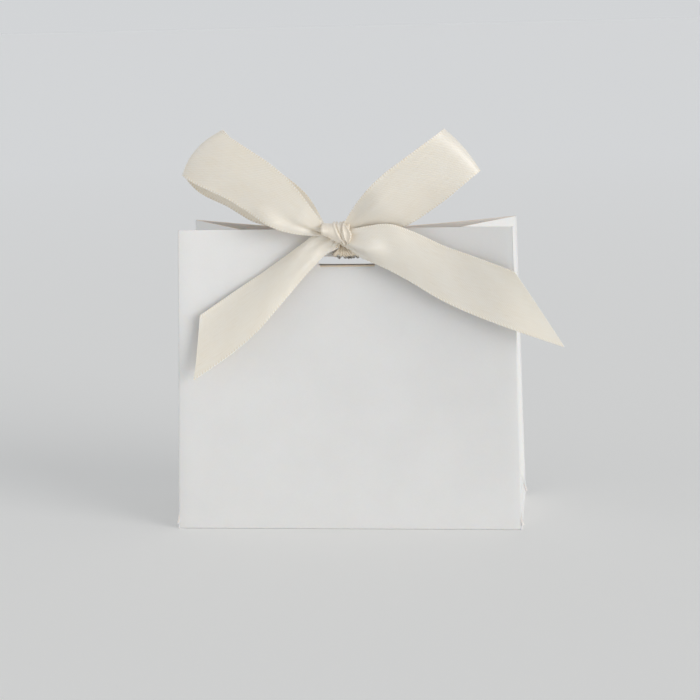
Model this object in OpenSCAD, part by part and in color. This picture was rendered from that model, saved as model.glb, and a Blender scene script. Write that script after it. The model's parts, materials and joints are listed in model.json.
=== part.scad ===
// Card gift bag with folded side gussets, closed by a satin ribbon that is threaded
// through two slots and tied in a bow in front of the top edge.
// Millimetres. Origin at the centre of the base's underside: X to the right, Y to the
// back, Z up. The bag is drawn as it stands with the ribbon tied.

/* [Bag] */
// Width of the front and back panels along the base creases
bag_w = 120; // [100:1:160]
// Distance between the side creases at the top edge
top_w = 115; // [95:1:155]
// Height of the panels, measured along the card
panel_h = 104; // [85:1:150]
// Depth of the base
base_d = 50; // [42:1:60]
// Depth between the front and the back top corners
mouth_d = 34; // [29:1:38]
// Thickness of the card
card_t = 0.5; // [0.3:0.05:0.6]
// Inward bow of the front panel at the middle of its top edge
front_bow = 10; // [5:0.5:12]
// Inward bow of the back panel at the middle of its top edge
back_bow = 14; // [7:0.5:15]

/* [Flaps and seam] */
// Length of the inner bottom flap, from the back crease
inner_flap_l = 34; // [20:1:38]
// Length of the two dust flaps, from the side creases
dust_flap_l = 24; // [12:1:40]
// Taper of the dust flaps' free corners
dust_flap_taper = 4; // [1:0.5:8]
// Width of the glue tab inside the back panel
seam_tab_w = 10; // [6:1:14]

/* [Ribbon slots] */
// Width of the front slot
front_slot_w = 20; // [14:1:30]
// Width of the back slot
back_slot_w = 25; // [14:1:30]
// Height of the slots
slot_h = 3; // [2.5:0.5:6]
// Distance from the top edge to the front slot's lower edge
front_slot_drop = 12.5; // [10:0.5:18]
// Distance from the top edge to the back slot's lower edge
back_slot_drop = 13.5; // [10:0.5:18]
// Corner radius of the slots
slot_r = 0.7; // [0.3:0.1:1.2]

/* [Ribbon] */
// Width of the ribbon
ribbon_w = 20; // [14:1:24]
// Thickness of the ribbon
ribbon_t = 0.4; // [0.2:0.05:0.5]
// Width of the gathered ribbon in the slots
band_w = 11; // [6:0.5:13]
// Length of the knot along X
knot_w = 12; // [9:0.5:14]
// Height and depth of the knot
knot_d = 10.5; // [8:0.5:12]
// Distance of the knot to the left of the bag's middle
knot_left = 3.5; // [0:0.5:6]
// Distance of the knot's centre below the top edge
knot_drop = 2.5; // [0:0.5:5]

/* [Bow loops] */
// Length of the left loop, from the knot's centre to its tip
left_loop_l = 55; // [40:1:70]
// Length of the right loop, from the knot's centre to its tip
right_loop_l = 53; // [40:1:70]
// Angle of the left loop above the level
left_loop_angle = 33; // [28:1:45]
// Angle of the right loop above the level
right_loop_angle = 35; // [28:1:45]
// Bulge of a loop's front layer
loop_front_bulge = 6; // [3:0.5:10]
// Bulge of a loop's back layer
loop_back_bulge = 3.5; // [2:0.5:4]
// Distance from the knot over which the gathered ribbon spreads to its full width
spread_l = 24; // [14:1:34]

/* [Tails] */
// Reach of the left tail's end to the left of the bag's middle
left_tail_x = 52; // [35:1:65]
// Reach of the right tail's end to the right of the bag's middle
right_tail_x = 67; // [45:1:80]
// Drop of the left tail's end below the top edge
left_tail_drop = 41; // [30:1:55]
// Drop of the right tail's end below the top edge
right_tail_drop = 28; // [24:1:45]
// Length by which the left tail's lower corner runs past the middle of its cut
left_cut = 6.5; // [0:0.5:10]
// Length by which the right tail's lower corner runs past the middle of its cut
right_cut = 12.5; // [0:0.5:16]
// Gap between the tails' ends and the front panel
tail_lift = 4.5; // [2:0.5:9]
// Rise of the tails' arch off the straight line to their ends
tail_arch = 2; // [0:0.5:5]

/* [Hidden] */
card_colour = "#f1f0ed";
inner_colour = "#e6e4df";
satin_colour = "#e9e2cf";

// Running gap at a crease and round the ribbon
gap = 0.3;
// Gap that the glue fills between two layers of card
glue_gap = 0.12;
// Power of the height by which a panel's bow grows from its crease to its top edge
bow_power = 1.4;
// Grid of a bowed panel, across and up
panel_cols = 20;
panel_rows = 10;
// Rings and points across of a ribbon stretch
loop_rings = 36;
tail_rings = 14;
ribbon_cols = 4;

// Inward lean of the panels' top corners
lean = (base_d - mouth_d) / 2;
// First height on a panel's card that clears the base
panel_foot = (card_t + gap) / panel_h;
// Distance of the bottom flaps from the walls, and the height they end below
flap_gap = card_t + 3 * gap;

// Point on the outer face of a panel drawn as the front one, with u from -1 to 1 across
// and v from 0 at the base crease to 1 at the top edge
function panel_half(v) = (bag_w * (1 - v) + top_w * v) / 2;
function panel_point(bow, u, v) =
  let (inward = lean * v + bow * pow(v, bow_power) * (1 - u * u))
  [u * panel_half(v), inward - base_d / 2, sqrt(pow(v * panel_h, 2) - inward * inward)];
function top_middle(bow) = panel_point(bow, 0, 1);
function at_drop(drop) = 1 - drop / panel_h;

// Gusset: a large triangle leans inward from the base's side crease, with its tip at
// the middle of the top edge, and two wings fold back from it to the panels' side creases
crease_foot = [bag_w / 2, -base_d / 2, 0];
crease_head = panel_point(0, 1, 1);
side_l = norm(crease_head - crease_foot);
crease_dir = (crease_head - crease_foot) / side_l;
side_inset = crease_head.x - crease_foot.x;
fold_reach = (base_d * base_d - mouth_d * mouth_d) / 4;
head_reach = norm([side_inset, crease_head.z]);
gusset_cos = (head_reach * head_reach + side_l * side_l - fold_reach) / (2 * side_l * head_reach);
gusset_lean = acos(gusset_cos) - atan2(side_inset, crease_head.z);
gusset_up = [-sin(gusset_lean), 0, cos(gusset_lean)];
gusset_in = [-cos(gusset_lean), 0, -sin(gusset_lean)];
gusset_tip = [bag_w / 2, 0, 0] + side_l * gusset_up;
wing_across = (gusset_tip - crease_head) / norm(gusset_tip - crease_head);
wing_out = cross(wing_across, crease_dir);
wing_slope = -wing_across.y / wing_across.x;
wing_w = base_d / 2;
// A wing ends short of its free crease, which stays open so that the fold can turn
wing_foot_trim = 0.5;
wing_tip_trim = 2.5;
wing_foot_w = 0.8;
gusset_foot_trim = card_t + 2 * gap;
gusset_tip_trim = 1.5;
gusset_tip_half = 0.3;

// Knot, and the sphere that the loops and tails stay out of as they turn about it
band_room = ribbon_t + 2 * gap;
knot_seat = panel_point(front_bow, 0, at_drop(knot_drop));
knot_pos = [-knot_left, knot_seat.y - band_room - knot_d / 2, knot_seat.z];
knot_lift = knot_seat.y - knot_pos.y;
knot_round = 0.7;
knot_r = 0.8 * norm([knot_w, knot_d]) / 2;
root_r = knot_r + gap;
root_half_w = 2.2;
loop_root_half = 1.2;

// Gathered ribbon: level of its run over the top edges and of its run through the slots
band_top = max(top_middle(front_bow).z, top_middle(back_bow).z) + 2 * gap + ribbon_t;
function slot_low(bow, drop) = panel_point(bow, 0, at_drop(drop)).z;
function band_low(bow, drop) = slot_low(bow, drop) + (slot_h - ribbon_t) / 2;
band_middle_low = (band_low(front_bow, front_slot_drop) + band_low(back_bow, back_slot_drop)) / 2;
band_middle = (top_middle(front_bow).y - top_middle(back_bow).y) / 2;

function smooth(t) = let (c = min(max(t, 0), 1)) c * c * (3 - 2 * c);
function across(j, count) = 2 * j / (count - 1) - 1;

// Closed sheet between an outer and an inner grid of points with the same rows and columns
module sheet(outer, inner) {
  rows = len(outer);
  cols = len(outer[0]);
  count = rows * cols;
  points = [for (grid = [outer, inner]) for (row = grid) for (p = row) p];
  cells = [for (i = [0 : rows - 2]) for (j = [0 : cols - 2]) i * cols + j];
  ends = [for (j = [0 : cols - 2]) j];
  sides = [for (i = [0 : rows - 2]) i * cols];
  last_row = (rows - 1) * cols;
  last_col = cols - 1;
  faces = concat(
    [for (c = cells) each [[c, c + 1, c + cols + 1], [c, c + cols + 1, c + cols]]],
    [for (c = cells) each [[c, c + cols + 1, c + 1], [c, c + cols, c + cols + 1]] + count * [[1, 1, 1], [1, 1, 1]]],
    [for (s = sides) each wall(s, s + cols, count)],
    [for (s = sides) each wall(s + cols + last_col, s + last_col, count)],
    [for (e = ends) each wall(e + 1, e, count)],
    [for (e = ends) each wall(e + last_row, e + 1 + last_row, count)]
  );
  polyhedron(points, faces);
}
function wall(a, b, count) = [[a, b, b + count], [a, b + count, a + count]];

// Flat plate: the outline and its copy at the given shift
module plate(outline, shift) {
  count = len(outline);
  points = concat(outline, [for (p = outline) p + shift]);
  rim = [for (i = [0 : count - 1]) let (k = (i + 1) % count) [k, i, i + count, k + count]];
  far = [for (i = [count - 1 : -1 : 0]) i + count];
  polyhedron(points, concat([[for (i = [0 : count - 1]) i]], [far], rim));
}

// Rectangle with round corners
module round_slot(w, h, r) {
  offset(r = r, $fn = 24) square([w - 2 * r, h - 2 * r], center = true);
}

// Panel with its bow and its slot, drawn as the front one
module bowed_panel(bow, drop, slot_w) {
  outer = [for (i = [0 : panel_cols]) [for (j = [0 : panel_rows])
    panel_point(bow, across(i, panel_cols + 1), panel_foot + (1 - panel_foot) * j / panel_rows)]];
  inner = [for (row = outer) [for (p = row) p + [0, card_t, 0]]];
  difference() {
    sheet(outer, inner);
    translate([0, -base_d / 2, slot_low(bow, drop) + slot_h / 2])
      rotate([90, 0, 0])
        linear_extrude(2 * base_d, center = true)
          round_slot(slot_w, slot_h, slot_r);
  }
}

// Wing of a gusset, drawn as the right front one: its card lies on the outside of the
// plane through the two creases, clear of the panel's bow
module gusset_wing(bow) {
  panel_slope = 2 * bow / (top_w / 2);
  setback = (card_t + gap) / (wing_slope - panel_slope) / abs(wing_across.x);
  foot = (wing_foot_w + setback + wing_foot_trim) * side_l / (wing_w - wing_tip_trim + wing_foot_trim);
  function free_edge(a) = (wing_w - wing_tip_trim + wing_foot_trim) * a / side_l - wing_foot_trim;
  function at(a, b) = crease_foot + a * crease_dir + b * wing_across;
  plate([at(foot, setback), at(foot, free_edge(foot)), at(side_l, free_edge(side_l)), at(side_l, setback)],
    card_t * wing_out);
}

// Large triangle of a gusset, drawn as the right one
module gusset_triangle() {
  foot = (card_t + gap) / cos(gusset_lean);
  head = side_l - gusset_tip_trim;
  foot_half = base_d / 2 - gusset_foot_trim;
  function at(y, a) = [bag_w / 2, y, 0] + a * gusset_up;
  plate([at(-foot_half, foot), at(-gusset_tip_half, head), at(gusset_tip_half, head), at(foot_half, foot)],
    card_t * gusset_in);
}

// Dust flap, drawn as the right one
module dust_flap() {
  root = bag_w / 2 - 2 * flap_gap;
  half = base_d / 2 - flap_gap;
  translate([0, 0, 2 * card_t])
    linear_extrude(card_t)
      polygon([[root, -half], [root, half], [root - dust_flap_l, half - dust_flap_taper],
        [root - dust_flap_l, dust_flap_taper - half]]);
}

// Half of the gathered ribbon round one panel's top edge, drawn as the front one, from
// the middle of the mouth over the edge, down the outside and in through the slot
module band_half(bow, drop, middle) {
  edge = top_middle(bow);
  low = band_low(bow, drop);
  slot_face = panel_point(bow, 0, at_drop(drop)).y;
  top_y = edge.y - gap - ribbon_t;
  low_y = slot_face - gap - ribbon_t;
  rotate([90, 0, 90])
    linear_extrude(band_w, center = true)
      polygon([[middle, band_top], [top_y, band_top], [low_y, low], [middle, band_middle_low],
        [middle, band_middle_low + ribbon_t], [low_y + ribbon_t, low + ribbon_t],
        [top_y + ribbon_t, band_top - ribbon_t], [middle, band_top - ribbon_t]]);
}

// Loop of the bow: out in front from the knot to the tip, and back behind to the knot
module ribbon_loop(side, length, angle) {
  run = length - root_r;
  out = [side * cos(angle), 0, sin(angle)];
  up = [-sin(angle), 0, side * cos(angle)];
  function bulge(t) = t < 0.5 ? loop_front_bulge : loop_back_bulge;
  function reach(t) = root_r + run * pow(sin(180 * t), 2);
  function depth(t) = -loop_root_half * cos(180 * t) - bulge(t) * sin(360 * t);
  function reach_rate(t) = 180 * run * sin(360 * t);
  function depth_rate(t) = 180 * loop_root_half * sin(180 * t) - 360 * bulge(t) * cos(360 * t);
  function half_w(t) = root_half_w + (ribbon_w / 2 - root_half_w) * smooth((reach(t) - root_r) / spread_l);
  function at(t, w, inset) =
    let (rate = norm([reach_rate(t), depth_rate(t)]))
    knot_pos + (reach(t) - inset * depth_rate(t) / rate) * out
      + [0, depth(t) + inset * reach_rate(t) / rate, 0] + w * half_w(t) * up;
  function grid(inset) = [for (i = [0 : loop_rings]) [for (j = [0 : ribbon_cols - 1])
    at(i / loop_rings, across(j, ribbon_cols), inset)]];
  sheet(grid(0), grid(ribbon_t));
}

// Tail of the bow: runs from the knot to its cut end in front of the front panel
module ribbon_tail(end_x, end_drop, cut) {
  start = [-knot_left, knot_drop];
  way = [end_x, end_drop] - start;
  length = norm(way);
  dir = way / length;
  normal = [dir.y, -dir.x];
  first = root_r / length;
  function lift(t) = knot_lift * (1 - t) + tail_lift * t + tail_arch * sin(180 * t);
  function half_w(t) = root_half_w + (ribbon_w / 2 - root_half_w) * smooth(t * length / (1.5 * spread_l));
  function at(t, w, extra) =
    let (
      along = first + (1 - first) * t * (1 + w * cut / length),
      flat = start + along * way + w * half_w(along - first) * normal,
      v = at_drop(flat.y),
      u = min(max(flat.x / panel_half(v), -1), 1),
      p = panel_point(front_bow, u, v)
    )
    [flat.x, p.y - lift(along) - extra, p.z];
  function grid(extra) = [for (i = [0 : tail_rings]) [for (j = [0 : ribbon_cols - 1])
    at(i / tail_rings, across(j, ribbon_cols), extra)]];
  sheet(grid(ribbon_t), grid(0));
}

module base_panel() {
  color(card_colour) translate([-bag_w / 2, -base_d / 2, 0]) cube([bag_w, base_d, card_t]);
}

module base_inner_flap() {
  w = bag_w - 4 * flap_gap;
  color(inner_colour)
    translate([-w / 2, base_d / 2 - flap_gap - inner_flap_l, card_t])
      cube([w, inner_flap_l, card_t]);
}

module base_dust_flap_left() { color(inner_colour) mirror([1, 0, 0]) dust_flap(); }

module base_dust_flap_right() { color(inner_colour) dust_flap(); }

module front_panel() { color(card_colour) bowed_panel(front_bow, front_slot_drop, front_slot_w); }

module back_panel() { color(card_colour) mirror([0, 1, 0]) bowed_panel(back_bow, back_slot_drop, back_slot_w); }

module seam_tab() {
  inset = 3.2;
  foot = 0.05;
  head = 0.88;
  cols = 4;
  function at(i, j, depth) =
    let (
      v = foot + (head - foot) * j / panel_rows,
      u = -1 + (inset + seam_tab_w * i / cols) / panel_half(v)
    )
    panel_point(back_bow, u, v) + [0, card_t + glue_gap + depth, 0];
  function grid(depth) = [for (i = [0 : cols]) [for (j = [0 : panel_rows]) at(i, j, depth)]];
  color(inner_colour) mirror([0, 1, 0]) sheet(grid(0), grid(card_t));
}

module left_gusset() { color(card_colour) mirror([1, 0, 0]) gusset_triangle(); }

module right_gusset() { color(card_colour) gusset_triangle(); }

module left_gusset_front_wing() { color(card_colour) mirror([1, 0, 0]) gusset_wing(front_bow); }

module right_gusset_front_wing() { color(card_colour) gusset_wing(front_bow); }

module left_gusset_rear_wing() {
  color(card_colour) mirror([1, 0, 0]) mirror([0, 1, 0]) gusset_wing(back_bow);
}

module right_gusset_rear_wing() { color(card_colour) mirror([0, 1, 0]) gusset_wing(back_bow); }

module ribbon_knot() {
  function power(x) = sign(x) * pow(abs(x), knot_round);
  outline = [for (a = [0 : 10 : 180]) [knot_d / 2 * power(sin(a)), knot_w / 2 * power(cos(a))]];
  color(satin_colour)
    translate(knot_pos)
      rotate([0, 90, 0])
        rotate_extrude($fn = 48) polygon(outline);
}

module ribbon_loop_left() { color(satin_colour) ribbon_loop(-1, left_loop_l, left_loop_angle); }

module ribbon_loop_right() { color(satin_colour) ribbon_loop(1, right_loop_l, right_loop_angle); }

module ribbon_tail_left() { color(satin_colour) ribbon_tail(-left_tail_x, left_tail_drop, left_cut); }

module ribbon_tail_right() { color(satin_colour) ribbon_tail(right_tail_x, right_tail_drop, -right_cut); }

module ribbon_band_front() { color(satin_colour) band_half(front_bow, front_slot_drop, band_middle); }

module ribbon_band_rear() { color(satin_colour) mirror([0, 1, 0]) band_half(back_bow, back_slot_drop, -band_middle); }

base_panel();
base_inner_flap();
base_dust_flap_left();
base_dust_flap_right();
front_panel();
back_panel();
seam_tab();
left_gusset();
left_gusset_front_wing();
left_gusset_rear_wing();
right_gusset();
right_gusset_front_wing();
right_gusset_rear_wing();
ribbon_knot();
ribbon_loop_left();
ribbon_loop_right();
ribbon_tail_left();
ribbon_tail_right();
ribbon_band_front();
ribbon_band_rear();
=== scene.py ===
"""Card gift bag with a satin bow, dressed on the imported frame. Lengths are in metres."""
import json
import math

import bpy
import numpy as np
from mathutils import Matrix, Vector


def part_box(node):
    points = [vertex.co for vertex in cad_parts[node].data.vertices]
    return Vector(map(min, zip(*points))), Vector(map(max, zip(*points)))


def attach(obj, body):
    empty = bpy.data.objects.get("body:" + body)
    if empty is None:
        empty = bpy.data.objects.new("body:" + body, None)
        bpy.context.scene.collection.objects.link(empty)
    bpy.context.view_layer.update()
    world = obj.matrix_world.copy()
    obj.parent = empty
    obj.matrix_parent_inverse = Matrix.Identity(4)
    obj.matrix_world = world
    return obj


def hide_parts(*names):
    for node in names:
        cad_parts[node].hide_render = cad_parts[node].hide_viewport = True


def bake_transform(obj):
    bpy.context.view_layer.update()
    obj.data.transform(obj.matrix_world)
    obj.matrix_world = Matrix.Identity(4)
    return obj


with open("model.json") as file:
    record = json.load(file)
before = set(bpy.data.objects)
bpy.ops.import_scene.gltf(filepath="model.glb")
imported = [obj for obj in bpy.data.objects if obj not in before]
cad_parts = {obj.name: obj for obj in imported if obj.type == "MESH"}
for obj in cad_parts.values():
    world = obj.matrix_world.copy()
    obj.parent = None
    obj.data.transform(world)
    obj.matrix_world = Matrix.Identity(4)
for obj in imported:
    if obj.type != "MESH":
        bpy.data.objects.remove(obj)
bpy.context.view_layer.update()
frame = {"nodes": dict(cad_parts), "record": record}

# Driving sizes: those of the solids, with thinner card and ribbon, round folds and a sloping sill
MM = 0.001
NEAR = 1e-9
base_low, base_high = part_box("base_panel")
BAG_W = base_high[0] - base_low[0]
BASE_D = base_high[1] - base_low[1]
TOP_W = 115 * MM
PANEL_H = 104 * MM
MOUTH_D = 34 * MM
FRONT_BOW = 10 * MM
BACK_BOW = 14 * MM
BOW_POWER = 1.4
LEAN = (BASE_D - MOUTH_D) / 2
CARD_T = 0.45 * MM
FOLD_R = 0.5 * MM
FRONT_SLOT_W = 20 * MM
BACK_SLOT_W = 25 * MM
SLOT_H = 3 * MM
FRONT_SLOT_DROP = 12.5 * MM
BACK_SLOT_DROP = 13.5 * MM
SLOT_R = 0.7 * MM
SLOT_SILL = 0.6 * MM
RIBBON_W = 20 * MM
RIBBON_T = 0.3 * MM
JOINT_POS = {j["name"]: np.array(j["pos_m"]) for j in frame["record"]["behaviour"]["joints"]}
KNOT = JOINT_POS["loop_left_flex"]
KNOT_Y = KNOT[1] + 1 * MM


# Small helpers
def ease(t):
    """Smooth step from 0 to 1"""
    c = np.clip(t, 0, 1)
    return c * c * (3 - 2 * c)


def ease_out(t):
    """Quick start and slow end from 0 to 1"""
    c = np.clip(t, 0, 1)
    return 1 - (1 - c) ** 2


def bell(x, centre, width):
    """Bell curve of height 1"""
    return np.exp(-((x - centre) / width) ** 2)


def unit(v):
    """Vector of length 1 along v"""
    return v / np.linalg.norm(v)


def spline(points, count):
    """Smooth curve through the points, evenly spaced along the chords"""
    p = np.array(points, float)
    chord = np.linalg.norm(np.diff(p, axis=0), axis=1)
    slope = np.diff(p, axis=0) / chord[:, None]
    before = chord[:-1, None]
    after = chord[1:, None]
    inner = (slope[:-1] * after + slope[1:] * before) / (before + after)
    tangent = np.vstack([slope[:1], inner, slope[-1:]])
    at = np.concatenate([[0], np.cumsum(chord)])
    where = np.linspace(0, at[-1], count)
    k = np.clip(np.searchsorted(at, where, side="right") - 1, 0, len(chord) - 1)
    h = chord[k][:, None]
    t = (where - at[k])[:, None] / h
    return ((1 + 2 * t) * (1 - t) ** 2 * p[k] + t * (1 - t) ** 2 * h * tangent[k]
            + t * t * (3 - 2 * t) * p[k + 1] + t * t * (t - 1) * h * tangent[k + 1])


def normals_of(grid):
    """Unit normal at each point of a grid of points"""
    n = np.cross(np.gradient(grid, axis=0), np.gradient(grid, axis=1))
    return n / np.linalg.norm(n, axis=2, keepdims=True)


def arc_length(grid):
    """Length along the middle column of a grid"""
    middle = grid[:, grid.shape[1] // 2]
    steps = np.linalg.norm(np.diff(middle, axis=0), axis=1)
    return np.concatenate([[0], np.cumsum(steps)])


def shell(name, outer, inner, uv, materials, hole=None, folded=None):
    """Closed sheet between two grids; of three materials, the second is inside, the last on the rim"""
    rows, cols = outer.shape[:2]
    count = rows * cols
    i, j = np.meshgrid(np.arange(rows - 1), np.arange(cols - 1), indexing="ij")
    keep = np.ones(i.shape, bool) if hole is None else ~hole
    corner = (i * cols + j)[keep]
    quads = np.stack([corner, corner + cols, corner + cols + 1, corner + 1], axis=1)
    edges = {}
    for q in quads.tolist():
        for a, b in zip(q, q[1:] + q[:1]):
            edges[(a, b)] = True
    rim = [(b, a, a + count, b + count) for a, b in edges if (b, a) not in edges]
    faces = quads.tolist() + (quads[:, ::-1] + count).tolist() + rim
    used = np.unique(np.array([v for f in faces for v in f]))
    renumber = np.full(2 * count, -1)
    renumber[used] = np.arange(len(used))
    points = np.concatenate([outer.reshape(-1, 3), inner.reshape(-1, 3)])[used]
    mesh = bpy.data.meshes.new(name)
    mesh.from_pydata(points.tolist(), [], [[int(renumber[v]) for v in f] for f in faces])
    for m in materials:
        mesh.materials.append(m)
    index = np.zeros(len(faces), np.int32)
    index[len(quads):2 * len(quads)] = min(1, max(0, len(materials) - 2))
    for k, (b, a, _, _) in enumerate(rim):
        if folded is None or not (folded.flat[a] and folded.flat[b]):
            index[len(quads) * 2 + k] = len(materials) - 1
    mesh.polygons.foreach_set("material_index", index)
    mesh.polygons.foreach_set("use_smooth", np.ones(len(faces), bool))
    layer = mesh.uv_layers.new(name="Cloth")
    loops = np.zeros(len(mesh.loops), np.int32)
    mesh.loops.foreach_get("vertex_index", loops)
    flat_uv = np.tile(uv.reshape(-1, 2), (2, 1))[used]
    layer.data.foreach_set("uv", flat_uv[loops].astype(np.float32).ravel())
    mesh.set_sharp_from_angle(angle=math.radians(50))
    mesh.update()
    obj = bpy.data.objects.new(name, mesh)
    bpy.context.scene.collection.objects.link(obj)
    return obj


def plain_uv(grid):
    """Map of a card grid, which no card material reads"""
    return np.stack([grid[..., 0] + grid[..., 1], grid[..., 2]], axis=-1)


def fold_rims(grid):
    """Marks the rims of a card grid that are folds: all but its top edge"""
    folded = np.zeros(grid.shape[:2], bool)
    folded[[0, -1], :] = True
    folded[:, 0] = True
    return folded


# Materials
def new_material(name):
    """New material with its node tree and its shader"""
    material = bpy.data.materials.new(name)
    material.use_nodes = True
    tree = material.node_tree
    shader = tree.nodes["Principled BSDF"]
    return material, tree, shader


def add_node(tree, kind, **sockets):
    """New node with its inputs set by name"""
    node = tree.nodes.new(kind)
    for key, value in sockets.items():
        node.inputs[key.replace("_", " ")].default_value = value
    return node


def math_node(tree, operation, first, second=None):
    """Math node whose inputs are sockets or numbers"""
    node = tree.nodes.new("ShaderNodeMath")
    node.operation = operation
    for socket, value in zip(node.inputs, (first, second)):
        if isinstance(value, bpy.types.NodeSocket):
            tree.links.new(value, socket)
        elif value is not None:
            socket.default_value = value
    return node.outputs[0]


def weighted(tree, *terms):
    """Sum of sockets times their weights"""
    total = None
    for socket, weight in terms:
        product = math_node(tree, "MULTIPLY", socket, weight)
        total = product if total is None else math_node(tree, "ADD", total, product)
    return total


def ramp(tree, factor, stops):
    """Colour ramp over a factor; stops are (place, colour)"""
    node = tree.nodes.new("ShaderNodeValToRGB")
    items = node.color_ramp.elements
    for extra in stops[2:]:
        items.new(extra[0])
    for item, (place, colour) in zip(sorted(items, key=lambda e: e.position), sorted(stops)):
        item.position = place
        item.color = (*colour, 1)
    tree.links.new(factor, node.inputs["Fac"])
    return node.outputs["Color"]


def span(tree, value, low, high, to_low, to_high):
    """Map a value's range onto another"""
    node = tree.nodes.new("ShaderNodeMapRange")
    tree.links.new(value, node.inputs["Value"])
    for key, number in (("From Min", low), ("From Max", high), ("To Min", to_low), ("To Max", to_high)):
        node.inputs[key].default_value = number
    return node.outputs["Result"]


def translucent(shader, weight, radius, scale):
    """Light that soaks through a thin sheet"""
    shader.inputs["Subsurface Weight"].default_value = weight
    shader.inputs["Subsurface Radius"].default_value = radius
    shader.inputs["Subsurface Scale"].default_value = scale


def card_material(name, light, dark, grain):
    """Matt card: mottled fibres and a faint felt texture"""
    material, tree, shader = new_material(name)
    link = tree.links.new
    place = tree.nodes.new("ShaderNodeTexCoord").outputs["Object"]
    mottle = add_node(tree, "ShaderNodeTexNoise", Scale=55.0, Detail=4.0, Roughness=0.6)
    fibre = add_node(tree, "ShaderNodeTexNoise", Scale=grain, Detail=6.0, Roughness=0.7)
    felt = add_node(tree, "ShaderNodeTexVoronoi", Scale=grain * 0.8)
    for node in (mottle, fibre, felt):
        link(place, node.inputs["Vector"])
    both = weighted(tree, (mottle.outputs["Fac"], 0.6), (fibre.outputs["Fac"], 0.4))
    link(ramp(tree, both, [(0.35, dark), (0.65, light)]), shader.inputs["Base Color"])
    link(span(tree, fibre.outputs["Fac"], 0.3, 0.7, 0.5, 0.66), shader.inputs["Roughness"])
    height = weighted(tree, (fibre.outputs["Fac"], 0.7), (felt.outputs["Distance"], 0.3))
    bump = add_node(tree, "ShaderNodeBump", Strength=0.12, Distance=0.00012)
    link(height, bump.inputs["Height"])
    link(bump.outputs["Normal"], shader.inputs["Normal"])
    shader.inputs["Specular IOR Level"].default_value = 0.35
    translucent(shader, weight=0.3, radius=(1.0, 0.78, 0.6), scale=0.5 * MM)
    return material


def satin_material(name, colours, soak):
    """Woven satin: long floats along the ribbon, a fine twill, stitched selvedges and a soft sheen"""
    material, tree, shader = new_material(name)
    link = tree.links.new
    uv = tree.nodes.new("ShaderNodeUVMap")
    uv.uv_map = "Cloth"
    parts = tree.nodes.new("ShaderNodeSeparateXYZ")
    link(uv.outputs["UV"], parts.inputs["Vector"])
    across, along = parts.outputs["X"], parts.outputs["Y"]
    twill_pitch = 0.7 * MM
    stitch_pitch = 1.0 * MM
    selvedge = 0.85 * MM
    diagonal = math_node(tree, "ADD", across, math_node(tree, "MULTIPLY", along, 0.55))
    twill = math_node(tree, "SINE", math_node(tree, "MULTIPLY", diagonal, math.tau / twill_pitch))
    weft = math_node(tree, "SINE", math_node(tree, "MULTIPLY", along, math.tau / twill_pitch))
    stretch = tree.nodes.new("ShaderNodeMapping")
    stretch.inputs["Scale"].default_value = (2600, 160, 1)
    link(uv.outputs["UV"], stretch.inputs["Vector"])
    floats = add_node(tree, "ShaderNodeTexNoise", Scale=1.0, Detail=4.0, Roughness=0.6)
    link(stretch.outputs["Vector"], floats.inputs["Vector"])
    cloud = add_node(tree, "ShaderNodeTexNoise", Scale=90.0, Detail=3.0, Roughness=0.5)
    link(uv.outputs["UV"], cloud.inputs["Vector"])
    edge = span(tree, math_node(tree, "ABSOLUTE", across), RIBBON_W / 2 - selvedge,
                RIBBON_W / 2 - 0.6 * selvedge, 0.0, 1.0)
    stitch = math_node(tree, "SINE", math_node(tree, "MULTIPLY", along, math.tau / stitch_pitch))
    dots = math_node(tree, "MULTIPLY", edge, span(tree, stitch, -0.6, 0.6, -1.0, 1.0))
    tone = weighted(tree, (floats.outputs["Fac"], 0.35), (cloud.outputs["Fac"], 0.3),
                    (twill, 0.06), (dots, 0.22))
    link(ramp(tree, tone, colours), shader.inputs["Base Color"])
    link(span(tree, floats.outputs["Fac"], 0.3, 0.7, 0.27, 0.38), shader.inputs["Roughness"])
    height = weighted(tree, (twill, 0.6), (weft, 0.12), (floats.outputs["Fac"], 0.5), (dots, 1.6))
    bump = add_node(tree, "ShaderNodeBump", Strength=0.22, Distance=0.00012)
    link(height, bump.inputs["Height"])
    link(bump.outputs["Normal"], shader.inputs["Normal"])
    shader.inputs["Specular IOR Level"].default_value = 0.75
    shader.inputs["Anisotropic"].default_value = 0.45
    shader.inputs["Sheen Weight"].default_value = 0.12
    shader.inputs["Sheen Roughness"].default_value = 0.4
    shader.inputs["Sheen Tint"].default_value = (1.0, 0.95, 0.85, 1)
    translucent(shader, weight=soak, radius=(1.0, 0.92, 0.8), scale=0.8 * MM)
    tangent = tree.nodes.new("ShaderNodeTangent")
    tangent.direction_type = "UV_MAP"
    tangent.uv_map = "Cloth"
    link(tangent.outputs["Tangent"], shader.inputs["Tangent"])
    return material


white_card = card_material("white_card", light=(0.845, 0.84, 0.83), dark=(0.815, 0.808, 0.797),
                           grain=1500.0)
# Card for the inside faces and inner flaps: the same card made warmer and a little lighter, which paints
# the warm light bounced about inside the bag
painted_bounce_card = card_material("painted_bounce_card", light=(0.86, 0.825, 0.79), dark=(0.83, 0.79, 0.75),
                           grain=1300.0)
card_core = card_material("card_core", light=(0.86, 0.74, 0.60), dark=(0.78, 0.64, 0.49), grain=2600.0)
SATIN_COLOURS = [(0.07, (0.85, 0.75, 0.62)), (0.37, (0.92, 0.848, 0.745)), (0.77, (0.96, 0.922, 0.855))]
# Warmer, lighter satin for the gathered run: painted warm glow of light bounced within and through its
# pleats
PLEAT_GLOW_COLOURS = [(0.07, (0.92, 0.775, 0.59)), (0.37, (0.97, 0.86, 0.70)), (0.77, (0.985, 0.925, 0.81))]
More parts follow.
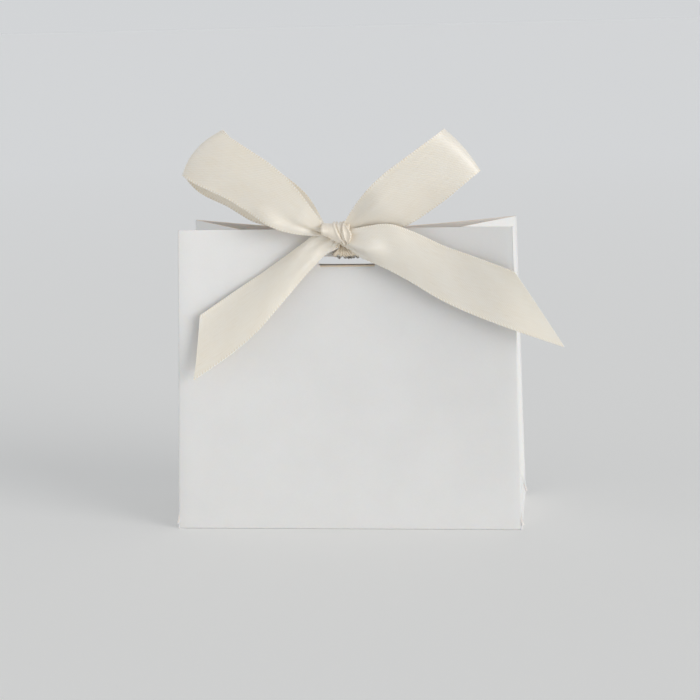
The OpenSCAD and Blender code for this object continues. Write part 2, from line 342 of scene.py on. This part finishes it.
# Warmer, lighter satin for the knot: painted warm glow of light bounced between its folds
KNOT_GLOW_COLOURS = [(0.07, (0.89, 0.77, 0.61)), (0.37, (0.95, 0.86, 0.735)), (0.77, (0.98, 0.93, 0.85))]
satin = satin_material("satin_ribbon", SATIN_COLOURS, soak=0.6)
glow_knot_satin = satin_material("glow_knot_satin", KNOT_GLOW_COLOURS, soak=0.2)
glow_gathered_satin = satin_material("glow_gathered_satin", PLEAT_GLOW_COLOURS, soak=0.15)


# Camera at the photograph's angle
CAMERA_TARGET = Vector((-0.9 * MM, 0, 58.6 * MM))
CAMERA_DISTANCE = 0.7
CAMERA_AZIMUTH = math.radians(6.52)
CAMERA_ELEVATION = math.radians(10.0)
CAMERA_ROLL = math.radians(-1.44)
CAMERA_LENS = 101.82
back = Vector((math.sin(CAMERA_AZIMUTH) * math.cos(CAMERA_ELEVATION),
               -math.cos(CAMERA_AZIMUTH) * math.cos(CAMERA_ELEVATION), math.sin(CAMERA_ELEVATION)))
level = Vector((math.cos(CAMERA_AZIMUTH), math.sin(CAMERA_AZIMUTH), 0))
upright = back.cross(level)
right = math.cos(CAMERA_ROLL) * level + math.sin(CAMERA_ROLL) * upright
upward = back.cross(right)
camera_data = bpy.data.cameras.new("camera")
camera_data.lens = CAMERA_LENS
camera_data.sensor_width = 36
camera_data.clip_start = 0.01
camera = bpy.data.objects.new("camera", camera_data)
bpy.context.scene.collection.objects.link(camera)
turn = Matrix((right, upward, back)).transposed().to_4x4()
camera.matrix_world = Matrix.Translation(CAMERA_TARGET + CAMERA_DISTANCE * back) @ turn
bpy.context.scene.camera = camera


# Bowed panels with their slots
def panel_half(v):
    """Half width of a panel at a share of its height"""
    return (BAG_W * (1 - v) + TOP_W * v) / 2


def panel_inward(bow, u, v):
    """How far a panel lies inside its crease"""
    return LEAN * v + bow * np.clip(v, 0, 1) ** BOW_POWER * (1 - u * u)


def grid_lines(start, stop, step, exact):
    """Even lines from start to stop, with the exact lines in place of their near neighbours"""
    even = np.linspace(start, stop, round((stop - start) / step) + 1)
    exact = np.array(exact)
    far = np.min(np.abs(even[:, None] - exact[None, :]), axis=1) > 0.4 * step
    far[[0, -1]] = True
    return np.sort(np.concatenate([even[far], exact]))


def slot_corners(x, s, width, low, high):
    """Move the slot's boundary points near its corners onto round ones"""
    for side in (-1, 1):
        for edge, way in ((low, -1), (high, 1)):
            cx = side * (width / 2 - SLOT_R)
            cs = edge - way * SLOT_R
            out_x = (x - cx) * side
            out_s = (s - cs) * way
            upright_edge = (abs(out_x - SLOT_R) < NEAR) & (out_s > NEAR) & (out_s < SLOT_R + NEAR)
            level_edge = (abs(out_s - SLOT_R) < NEAR) & (out_x > NEAR) & (out_x < SLOT_R - NEAR)
            angle = np.where(upright_edge, out_s / SLOT_R * math.pi / 4,
                             math.pi / 2 - out_x / SLOT_R * math.pi / 4)
            moved = upright_edge | level_edge
            x[moved] = (cx + side * SLOT_R * np.cos(angle))[moved]
            s[moved] = (cs + way * SLOT_R * np.sin(angle))[moved]


def panel_surface(bow, x, s, x_arc, s_arc, slot_half):
    """Outer face of a panel drawn as the front one, from places across and along the flat card"""
    crown_h = 0.3 * MM
    crown_w = 4 * MM
    broad_wave = 0.10 * MM
    small_wave = 0.07 * MM
    s = s - FOLD_R * np.sin(s_arc)[None, :]
    v = s / PANEL_H
    half = panel_half(v)
    x = x / slot_half * (half - FOLD_R) + FOLD_R * np.sin(x_arc)[:, None]
    u = x / half
    inward = panel_inward(bow, u, v)
    z = np.sqrt(np.maximum(s * s - inward * inward, 0))
    to_edge = half - np.abs(x)
    crown = crown_h * np.clip(1 - to_edge / crown_w, 0, 1) ** 2
    waves = broad_wave * np.sin(math.tau * (x / 0.047 + z / 0.083) + 0.6)
    waves += small_wave * np.sin(math.tau * (x / 0.031 - z / 0.056) + 2.1)
    fold = FOLD_R * (1 - np.cos(x_arc))[:, None] + FOLD_R * (1 - np.cos(s_arc))[None, :]
    y = inward - BASE_D / 2 + fold + crown + waves * (1 - u ** 4) * ease(v * 6)
    return np.stack([x, y, z], axis=-1)


def make_panel(name, bow, width, drop, mirror):
    """Bowed panel with its slot, whose lower edge slopes so that the cut shows"""
    arc = np.radians([90, 68, 46, 28, 12])
    slot_half = panel_half(1 - drop / PANEL_H) - FOLD_R
    slot_low = PANEL_H - drop
    slot_high = slot_low + SLOT_H
    insets = np.array([0, 0.3, 0.65, 1]) * SLOT_R
    exact_x = np.concatenate([width / 2 - insets, insets - width / 2])
    exact_s = np.concatenate([slot_low + insets, slot_high - insets])
    middle_x = grid_lines(-slot_half, slot_half, step=1.5 * MM, exact=exact_x)
    middle_s = grid_lines(FOLD_R, PANEL_H, step=1.6 * MM, exact=exact_s)
    x_lines = np.concatenate([np.full(len(arc), -slot_half), middle_x, np.full(len(arc), slot_half)])
    x_arc = np.concatenate([-arc, np.zeros(len(middle_x)), arc[::-1]])
    s_lines = np.concatenate([np.full(len(arc), FOLD_R), middle_s])
    s_arc = np.concatenate([arc, np.zeros(len(middle_s))])
    x, s = np.meshgrid(x_lines, s_lines, indexing="ij")
    in_x = (x_lines[:-1] > -width / 2 - NEAR) & (x_lines[1:] < width / 2 + NEAR)
    in_s = (s_lines[:-1] > slot_low - NEAR) & (s_lines[1:] < slot_high + NEAR)
    hole = in_x[:, None] & in_s[None, :]
    sill = (abs(s - slot_low) < NEAR) & (abs(x) < width / 2 - 0.5 * SLOT_R)
    slot_corners(x, s, width, slot_low, slot_high)
    face = panel_surface(bow, x, s, x_arc, s_arc, slot_half)
    outer = panel_surface(bow, x, s - SLOT_SILL * sill, x_arc, s_arc, slot_half)
    if mirror:
        flip = np.array([1, -1, 1])
        face = face[::-1] * flip
        outer = outer[::-1] * flip
        hole = hole[::-1]
    inner = face - normals_of(face) * CARD_T
    materials = [white_card, painted_bounce_card, card_core]
    return shell(name, outer, inner, plain_uv(outer), materials, hole, fold_rims(outer))


front_card = make_panel("front_card", FRONT_BOW, FRONT_SLOT_W, FRONT_SLOT_DROP, mirror=False)
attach(front_card, "front")
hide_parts("front_panel")
back_card = make_panel("back_card", BACK_BOW, BACK_SLOT_W, BACK_SLOT_DROP, mirror=True)
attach(back_card, "back")
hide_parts("back_panel")


# Gussets: a large triangle with two wings that fold round to the panels
crease_foot = np.array([BAG_W / 2, -BASE_D / 2, 0])
crease_head = np.array([TOP_W / 2, LEAN - BASE_D / 2, math.sqrt(PANEL_H ** 2 - LEAN ** 2)])
side_l = np.linalg.norm(crease_head - crease_foot)
crease_dir = (crease_head - crease_foot) / side_l
side_inset = crease_head[0] - crease_foot[0]
head_reach = math.hypot(side_inset, crease_head[2])
fold_reach = (BASE_D ** 2 - MOUTH_D ** 2) / 4
gusset_lean = math.acos((head_reach ** 2 + side_l ** 2 - fold_reach) / (2 * side_l * head_reach))
gusset_lean -= math.atan2(side_inset, crease_head[2])
gusset_up = np.array([-math.sin(gusset_lean), 0, math.cos(gusset_lean)])
gusset_in = np.array([-math.cos(gusset_lean), 0, -math.sin(gusset_lean)])
gusset_tip = np.array([BAG_W / 2, 0, 0]) + side_l * gusset_up
wing_across = unit(gusset_tip - crease_head)
wing_out = np.cross(wing_across, crease_dir)


def mirrored(grid, left, rear):
    """The right front grid on another side, with its outer face still outside"""
    out = grid * np.array([-1 if left else 1, -1 if rear else 1, 1])
    return out[::-1] if left != rear else out


def wing_grid(bow):
    """Outer face of the right front wing, from the panel's fold to the crease of the triangle"""
    first_line = 1.5 * MM
    line_count = 60
    lines = np.linspace(first_line, side_l, line_count)
    turns = np.array([0, 0.25, 0.5, 0.75, 1])
    rest = np.linspace(0, 1, 16)[1:]
    columns = []
    for a in lines:
        free = BASE_D / 2 * a / side_l
        turn_w = min(1.2 * FOLD_R, 0.4 * free)
        v = a / side_l
        slope = 2 * bow * v ** BOW_POWER / panel_half(v)
        start_out = unit(np.array([slope, 1, 0]))
        column = []
        for t in turns:
            out = unit((1 - t) * start_out + t * wing_out)
            column.append(crease_foot + a * crease_dir + t * turn_w * wing_across + FOLD_R * out)
        for f in rest:
            b = turn_w + (free - turn_w) * f
            column.append(crease_foot + a * crease_dir + b * wing_across + FOLD_R * (1 - f) * wing_out)
        columns.append(column)
    return np.array(columns).transpose(1, 0, 2)


def triangle_grid():
    """Outer face of the right gusset's triangle"""
    tip_gap = 0.4 * MM
    line_count = 50
    arc = np.radians([90, 60, 30])
    flat = np.linspace(FOLD_R, side_l - tip_gap, line_count)
    heights = np.concatenate([FOLD_R - FOLD_R * np.sin(arc), flat])
    depths = np.concatenate([FOLD_R - FOLD_R * np.cos(arc), np.zeros(line_count)])
    f = np.linspace(-1, 1, 21)
    half = BASE_D / 2 * (1 - heights / side_l)
    foot = np.array([BAG_W / 2, 0, 0])
    rise = heights[:, None] * gusset_up + depths[:, None] * gusset_in
    grid = np.repeat(rise[None], len(f), axis=0) + foot
    grid[..., 1] += f[:, None] * half[None, :]
    return grid


for left, side in ((False, "right"), (True, "left")):
    outer = mirrored(triangle_grid(), left, rear=False)
    inner = outer - normals_of(outer) * CARD_T
    card = shell(side + "_gusset_card", outer, inner, plain_uv(outer), [white_card])
    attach(card, side + "_gusset")
    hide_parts(side + "_gusset")
    for rear, place, panel, bow in ((False, "front", "front", FRONT_BOW),
                                    (True, "rear", "back", BACK_BOW)):
        outer = mirrored(wing_grid(bow), left, rear)
        inner = outer - normals_of(outer) * CARD_T
        card = shell(f"{side}_{place}_wing_card", outer, inner, plain_uv(outer),
                     [white_card, painted_bounce_card, card_core], folded=fold_rims(outer))
        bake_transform(card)
        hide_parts(f"{side}_gusset_{place}_wing")


# Base: the outer flap, a little cambered, with the flaps of the solids on top of it
def make_base():
    """Outer flap of the base"""
    inset_front = 0.4 * MM
    inset_rear = 1.0 * MM
    camber = 0.25 * MM
    y = np.linspace(-BASE_D / 2 + inset_front, BASE_D / 2 - inset_rear, 26)
    x = np.linspace(-BAG_W / 2 + inset_front, BAG_W / 2 - inset_front, 60)
    yy, xx = np.meshgrid(y, x, indexing="ij")
    rise = camber * (1 - (2 * xx / BAG_W) ** 2) * (1 - (2 * yy / BASE_D) ** 2)
    outer = np.stack([xx, yy, rise], axis=-1)
    card = shell("base_card", outer, outer + np.array([0, 0, CARD_T]), outer[..., :2], [white_card])
    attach(card, "base")
    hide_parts("base_panel")


make_base()
for node in ("base_inner_flap", "base_dust_flap_left", "base_dust_flap_right", "seam_tab"):
    obj = frame["nodes"][node]
    obj.data.materials.clear()
    obj.data.materials.append(painted_bounce_card)


# Ribbon
def satin_piece(name, grid, body=None, material=satin):
    """Satin of the ribbon's thickness on a grid of points along and across it"""
    selvedge_w = 1.2 * MM
    selvedge_step = 0.6 * MM
    selvedge_extra = 0.45
    n = normals_of(grid)
    across = np.linspace(-RIBBON_W / 2, RIBBON_W / 2, grid.shape[1])
    selvedge = 1 + selvedge_extra * ease((np.abs(across) - RIBBON_W / 2 + selvedge_w) / selvedge_step)
    half_t = (RIBBON_T / 2 * selvedge)[None, :, None]
    uv = np.stack(np.meshgrid(arc_length(grid), across, indexing="ij")[::-1], axis=-1)
    piece = shell(name, grid + n * half_t, grid - n * half_t, uv, [material])
    if body:
        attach(piece, body)
    return piece


def ribbon(name, grid, body, node, material=satin):
    """Stretch of the ribbon that stands for a node"""
    piece = satin_piece(name, grid, body, material)
    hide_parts(node)
    return piece


def bend_from_knot(piece, way):
    """Bake a piece's placement into its mesh"""
    way = unit(np.array(way))
    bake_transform(piece)


def bow_loop(side, length, angle, tip, upper, lower, sag, bulges, rise, recede, crest, creases):
    """Loop of the bow: in front from the knot to the tip, and back behind to the knot

    tip: more reach at the tip, then its slope and its curve across
    upper: half width at the knot, half width further out, the distance between
    lower: the same below the middle, then what is added near the tip
    sag: how much lower the rear layer hangs than the front one, at its upper and lower edge
    bulges: of the front, of the rear, and the slope of the front one across
    rise, recede: distance in which the bulge grows, depth of the lower edge beside the knot
    crest: height, place across, width across, place along, width along
    creases: depth and place across of each
    """
    rows, cols = 161, 33
    start = 3.5 * MM
    root = KNOT + np.array([0, 1.8, -0.3]) * MM
    half_gap = 1.2 * MM
    gather_l = 18 * MM
    crease_w = 0.18
    rear_pleat = 0.9 * MM
    front_cup = 0.5 * MM
    rear_cup = -0.3 * MM
    out = np.array([side * math.cos(angle), 0, math.sin(angle)])
    up = np.array([-side * math.sin(angle), 0, math.cos(angle)])
    t, w = np.meshgrid(np.linspace(0, 1, rows), np.linspace(-1, 1, cols), indexing="ij")
    r = start + (length - start) * np.sin(math.pi * t) ** 2
    front = t < 0.5
    reach = r + np.sin(math.pi * t) ** 8 * (tip[0] + tip[1] * w + tip[2] * w * w)
    top = upper[0] + (upper[1] - upper[0]) * ease_out((r - start) / upper[2])
    low = lower[0] + (lower[1] - lower[0]) * ease_out((r - start) / lower[2])
    low = low + lower[3] * ease((r - 36 * MM) / (18 * MM))
    behind = ease((t - 0.5) / 0.16) * ease((r - 14 * MM) / (16 * MM))
    top = top - sag[0] * behind
    low = low + sag[1] * behind
    perp = (top - low) / 2 + w * (top + low) / 2
    bulge = np.where(front, bulges[0] * (1 + bulges[2] * w), bulges[1])
    swell = np.sin(math.tau * t)
    near_tip = np.abs(t - 0.5) < 0.25
    swell = np.where(near_tip, np.sign(swell) * np.abs(swell) ** 0.65, swell)
    swell = swell * ease((r - 4 * MM) / rise)
    depth = -half_gap * np.cos(math.pi * t) - bulge * swell
    gather = 1 - ease((r - start) / gather_l)
    pleat = sum(amount * bell(w, place, crease_w) for amount, place in creases)
    pleat = np.where(front, pleat, rear_pleat * np.cos(math.pi * (1.8 * w - 0.2)))
    depth = depth + gather * pleat * ease((r - start) / (3 * MM))
    depth = depth - np.where(front, front_cup, rear_cup) * (1 - w * w) * np.sin(math.pi * t) ** 2
    near_knot = ease((r - 6 * MM) / (8 * MM)) * (1 - ease((r - 26 * MM) / (22 * MM)))
    depth = depth + np.where(front, recede * np.clip(-w, 0, 1) ** 1.3, 0) * near_knot
    ridge = crest[0] * bell(w, crest[1], crest[2]) * bell(r, crest[3], crest[4])
    depth = depth - np.where(front, ridge, 0)
    grid = root + reach[..., None] * out + perp[..., None] * up
    grid[..., 1] += depth
    return grid


left_loop_grid = bow_loop(
    side=-1, length=55 * MM, angle=math.radians(33), tip=(1.8 * MM, -1.95 * MM, -2.35 * MM),
    upper=(0.2 * MM, 11.0 * MM, 33 * MM), lower=(0.8 * MM, 7.6 * MM, 20 * MM, 2.0 * MM),
    sag=(1.8 * MM, 3.8 * MM), bulges=(4.8 * MM, 3.5 * MM, 0.1), rise=11 * MM, recede=1.0 * MM,
    crest=(2.6 * MM, -0.9, 0.4, 22 * MM, 5.5 * MM),
    creases=[(1.1 * MM, -0.43), (-0.3 * MM, -0.85)])
right_loop_grid = bow_loop(
    side=1, length=53 * MM, angle=math.radians(35), tip=(0.9 * MM, -0.8 * MM, -0.9 * MM),
    upper=(1.6 * MM, 8.6 * MM, 28 * MM), lower=(1.8 * MM, 11.2 * MM, 26 * MM, -1.0 * MM),
    sag=(0.6 * MM, 0.2 * MM), bulges=(5.5 * MM, 3.5 * MM, 0.35), rise=19 * MM, recede=4.6 * MM,
    crest=(0.9 * MM, 0.35, 0.26, 17 * MM, 8 * MM),
    creases=[(0.6 * MM, -0.3), (0.3 * MM, 0.5)])
loop_left = ribbon("bow_loop_left", left_loop_grid, None, "ribbon_loop_left")
loop_right = ribbon("bow_loop_right", right_loop_grid, None, "ribbon_loop_right")
bend_from_knot(loop_left, way=(-0.84, 0, 0.54))
bend_from_knot(loop_right, way=(0.82, 0, 0.57))


# Tails between their two edges, in millimetres
LEFT_TAIL_UPPER = [(-5.5, -12, 103.0), (-11.6, -12.5, 100.5), (-15.8, -12.8, 97.5), (-27.5, -13.8, 89.3),
                   (-39.8, -17.3, 81.5), (-50.3, -20.8, 74.7)]
LEFT_TAIL_LOWER = [(-1.7, -12, 98), (-3.1, -12.8, 96.3), (-6.1, -13, 94.9), (-12.1, -14.8, 89.4),
                   (-20.7, -19.5, 79.7), (-30.9, -23.6, 68.5), (-39.1, -25.3, 61.9),
                   (-51.9, -27.8, 53.4)]
RIGHT_TAIL_UPPER = [(-1.2, -12, 102.8), (2.6, -14.5, 103.3), (7, -15, 104.1), (15.2, -15, 104.9),
                    (22, -14, 102.6), (34.3, -14.5, 97), (45.2, -17.5, 93.4), (58, -21, 88.8)]
RIGHT_TAIL_LOWER = [(-2.7, -11.5, 98.4), (-0.8, -12.3, 97.3), (2.1, -12.6, 95.9), (5.2, -12.8, 93.7),
                    (8, -13.2, 92.3), (11, -14.2, 91), (21.9, -16.5, 85.4), (31.8, -18.6, 79.6),
                    (50, -22.8, 72), (55.5, -24.4, 70.2), (74.9, -27, 63.8)]


def bow_tail(upper, lower, curl, crest):
    """Tail of the bow between its edges, pleated at the knot and slightly rolled

    curl: roll of its middle near the knot and at its end
    crest: height, place across, width across, place along, width before it and after it
    """
    rows, cols = 140, 33
    top = spline(upper, rows) * MM
    low = spline(lower, rows) * MM
    w = np.linspace(-1, 1, cols)
    share = (w + 1) / 2
    grid = low[:, None] * (1 - share)[None, :, None] + top[:, None] * share[None, :, None]
    along = np.linspace(0, 1, rows)[:, None]
    n = normals_of(grid)
    n = n * np.where(n[..., 1:2] > 0, -1, 1)
    hidden = 1.3 * (1 - ease(along / 0.05)) * np.cos(3.5 * math.pi * w[None, :])
    shown = 0.4 * (1 - ease(along / 0.3)) * np.cos(math.pi * (2.4 * w[None, :] + 0.3))
    lift = MM * ease(along / 0.03) * (hidden + shown)
    roll = curl[0] + (curl[1] - curl[0]) * ease((along - 0.3) / 0.7)
    lift = lift + roll * (1 - w[None, :] ** 2) * ease(along / 0.3)
    crest_width = np.where(along < crest[3], crest[4], crest[5])
    lift = lift + crest[0] * bell(w[None, :], crest[1], crest[2]) * bell(along, crest[3], crest_width)
    return grid + n * lift[..., None]


left_tail_grid = bow_tail(LEFT_TAIL_UPPER, LEFT_TAIL_LOWER, curl=(2.4 * MM, -1.0 * MM),
                          crest=(1.3 * MM, -0.6, 0.36, 0.2, 0.15, 0.15))
right_tail_grid = bow_tail(RIGHT_TAIL_UPPER, RIGHT_TAIL_LOWER, curl=(0.6 * MM, -0.8 * MM),
                           crest=(3.9 * MM, -0.15, 0.6, 0.145, 0.12, 0.07))
tail_left = ribbon("bow_tail_left", left_tail_grid, None, "ribbon_tail_left")
tail_right = ribbon("bow_tail_right", right_tail_grid, None, "ribbon_tail_right")
bend_from_knot(tail_left, way=(-0.77, 0, -0.64))
bend_from_knot(tail_right, way=(0.94, 0, -0.34))


# Knot: a pleated wrap, low on its right, and a small fold that stands out there
def knot_wrap():
    """Wrap of the knot, with both ends tucked in and closed; pleats are (height, place, width)"""
    centre = -3.1 * MM
    half = 4.8 * MM
    top = 104.9 * MM
    turns = np.linspace(-math.pi, math.pi, 97)
    angle, s = np.meshgrid(turns, np.linspace(-1.65, 1.65, 121), indexing="ij")
    height = np.sin(angle)
    edge = np.clip((np.abs(s) - 0.9) / 0.2, 0, 1) * math.pi
    tucked = np.clip(np.abs(s) - 1.1, 0, None)
    x = centre + np.sign(s) * half * (np.minimum(np.abs(s), 0.9) + 0.1 * np.sin(edge) - tucked)
    low = 98.0 * MM + 3.4 * MM * ease((-0.5 * MM - x) / (8.4 * MM))
    low = low + 0.6 * MM * ease((x + 0.5 * MM) / (2.2 * MM))
    ridge = 0.23 - 0.40 * height
    pleats = [(0.55, ridge, 0.08), (-0.50, ridge + 0.15, 0.06), (0.25, ridge + 0.27, 0.05),
              (-0.45, 0.43, 0.05), (0.30, 0.58, 0.06), (-0.50, 0.73, 0.05),
              (-0.12, -0.5 + 0.06 * height, 0.1), (0.25, -0.86, 0.09)]
    pleat = sum(amount * bell(s, place, width) for amount, place, width in pleats)
    closing = 1 - 0.9 * ease(tucked / 0.55)
    turn = (0.91 + 0.09 * np.cos(edge)) * (1 + pleat / 5) * closing
    rise = (top - low) / 2 * turn
    reach = (4.6 * MM + 0.3 * MM * ease(-s)) * turn
    return np.stack([x, KNOT_Y - reach * np.cos(angle), (top + low) / 2 + rise * height], axis=-1)


def knot_fold():
    """Small open fold on the front of the knot"""
    middle_z = 101.4 * MM
    t, w = np.meshgrid(np.linspace(0, 1, 49), np.linspace(-1, 1, 21), indexing="ij")
    z = (105.3 - 6.9 * t) * MM
    drift = 1.25 * MM * ease(t / 0.55)
    half = (0.15 + 1.15 * np.sin(math.pi * np.clip(0.05 + 0.93 * t, 0, 1)) ** 1.2) * MM
    lips = 0.75 * MM * w * w * np.sin(math.pi * t) ** 0.6
    reach = 4.8 * MM * np.sqrt(1 - ((z - middle_z) / (4.1 * MM)) ** 2)
    return np.stack([drift + w * half, KNOT_Y - reach - lips, z], axis=-1)


fold = satin_piece("bow_knot_fold", knot_fold(), "front", glow_knot_satin)
ribbon("bow_knot_wrap", knot_wrap(), "front", "ribbon_knot",
       material=glow_knot_satin)

# Gathered run over the top edges and through the slots, in millimetres along Y and Z
FRONT_RUN = [(-2, 103.8), (-5.4, 103.9), (-7.5, 103.4), (-8.5, 101.9), (-9.1, 99.2), (-10.1, 97.2),
             (-10.9, 95.8), (-11.3, 94.9), (-10.9, 94.0), (-9.2, 93.5), (-2, 93.4)]
REAR_RUN = [(-2, 103.8), (1.6, 103.6), (3.6, 102.8), (4.5, 101.0), (5.2, 98.2), (6.1, 95.2), (6.9, 92.6),
            (7.3, 91.6), (6.9, 90.9), (5.6, 90.9), (-2, 93.4)]
FRONT_HALVES = [(0, 4.2), (0.2, 4.0), (0.4, 2.2), (0.5, 1.4), (0.57, 2.8), (0.65, 4.9), (1, 4.8)]
REAR_HALVES = [(0, 4.2), (0.3, 4.5), (0.6, 5.2), (1, 5.0)]


def gathered_run(path, halves, pleat_count):
    """Ribbon drawn into pleats along a path in the YZ plane; halves are (share of it, half width)"""
    rows, cols = 90, 105
    pleat_h = 0.45 * MM
    top_x = -1.2 * MM
    drift = 1.1 * MM
    line = spline([(0, y, z) for y, z in path], rows) * MM
    way = np.gradient(line, axis=0)
    out = np.stack([np.zeros(rows), -way[:, 2], way[:, 1]], axis=1)
    out = out / np.linalg.norm(out, axis=1, keepdims=True) * np.sign(way[0, 1])
    t = np.linspace(0, 1, rows)
    half = np.interp(t, [place for place, _ in halves], [value for _, value in halves]) * MM
    half = np.convolve(np.pad(half, 3, mode="edge"), np.ones(7) / 7, mode="valid")
    w = np.linspace(-1, 1, cols)
    wander = 0.12 * np.sin(3 * t)[:, None] * np.sin(5 * w)[None, :]
    wave = np.cos(math.pi * pleat_count * (w[None, :] + wander)) + 0.35 * np.cos(7.3 * w[None, :] + 1)
    depth = pleat_h * wave * (0.75 + 0.25 * np.sin(math.pi * t) - 0.4 * bell(t, 0.58, 0.1))[:, None]
    grid = line[:, None] + depth[..., None] * out[:, None]
    grid[..., 0] += (top_x + drift * ease((t - 0.4) / 0.3))[:, None] + w[None, :] * half[:, None]
    return grid


run_front = ribbon("ribbon_run_front", gathered_run(FRONT_RUN, FRONT_HALVES, pleat_count=8), None,
                   "ribbon_band_front", material=glow_gathered_satin)
run_rear = ribbon("ribbon_run_rear", gathered_run(REAR_RUN, REAR_HALVES, pleat_count=8), None,
                  "ribbon_band_rear", material=glow_gathered_satin)
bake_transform(run_front)
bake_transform(run_rear)


# Floor and light
def make_floor():
    """Wide pale floor that grows lighter away from the bag"""
    material, tree, shader = new_material("pale_floor")
    place = tree.nodes.new("ShaderNodeTexCoord").outputs["Object"]
    length = tree.nodes.new("ShaderNodeVectorMath")
    length.operation = "LENGTH"
    tree.links.new(place, length.inputs[0])
    grain = add_node(tree, "ShaderNodeTexNoise", Scale=8.0, Detail=3.0)
    tree.links.new(place, grain.inputs["Vector"])
    far = span(tree, length.outputs["Value"], low=0.15, high=1.6, to_low=0.0, to_high=1.0)
    mix = weighted(tree, (far, 1.0), (grain.outputs["Fac"], 0.02))
    tone = ramp(tree, mix, [(0.0, (0.905, 0.902, 0.89)), (1.0, (0.96, 0.965, 0.97))])
    tree.links.new(tone, shader.inputs["Base Color"])
    shader.inputs["Roughness"].default_value = 0.75
    shader.inputs["Specular IOR Level"].default_value = 0.15
    size = 14
    mesh = bpy.data.meshes.new("floor")
    corners = [(-size, -size, 0), (size, -size, 0), (size, size, 0), (-size, size, 0)]
    mesh.from_pydata(corners, [], [(0, 1, 2, 3)])
    mesh.materials.append(material)
    floor = bpy.data.objects.new("floor", mesh)
    bpy.context.scene.collection.objects.link(floor)


def add_sun(name, energy, angle, towards):
    """Soft sun that stands in the direction given by towards"""
    sun = bpy.data.lights.new(name, "SUN")
    sun.energy = energy
    sun.angle = math.radians(angle)
    sun.color = (1.0, 0.985, 0.965)
    lamp = bpy.data.objects.new(name, sun)
    lamp.rotation_mode = "QUATERNION"
    lamp.rotation_quaternion = Vector(towards).to_track_quat("Z", "Y")
    bpy.context.scene.collection.objects.link(lamp)


def make_light():
    """Low key light from the right, weak fill from the left and an even world"""
    light_strength = 0.56
    shown_strength = 0.675
    add_sun("key", energy=1.56, angle=40, towards=(0.83, -0.52, 0.2))
    add_sun("fill", energy=0.28, angle=70, towards=(-0.85, -0.3, 0.4))
    world = bpy.data.worlds.new("studio")
    world.use_nodes = True
    tree = world.node_tree
    background = tree.nodes["Background"]
    background.inputs["Color"].default_value = (0.96, 0.98, 1.0, 1)
    path = tree.nodes.new("ShaderNodeLightPath")
    shown = math_node(tree, "MAXIMUM", path.outputs["Is Camera Ray"], path.outputs["Is Glossy Ray"])
    shown = math_node(tree, "MAXIMUM", shown, path.outputs["Is Transmission Ray"])
    strength = span(tree, shown, 0.0, 1.0, light_strength, shown_strength)
    tree.links.new(strength, background.inputs["Strength"])
    bpy.context.scene.world = world


make_floor()
make_light()
bpy.context.scene.view_settings.view_transform = "Standard"
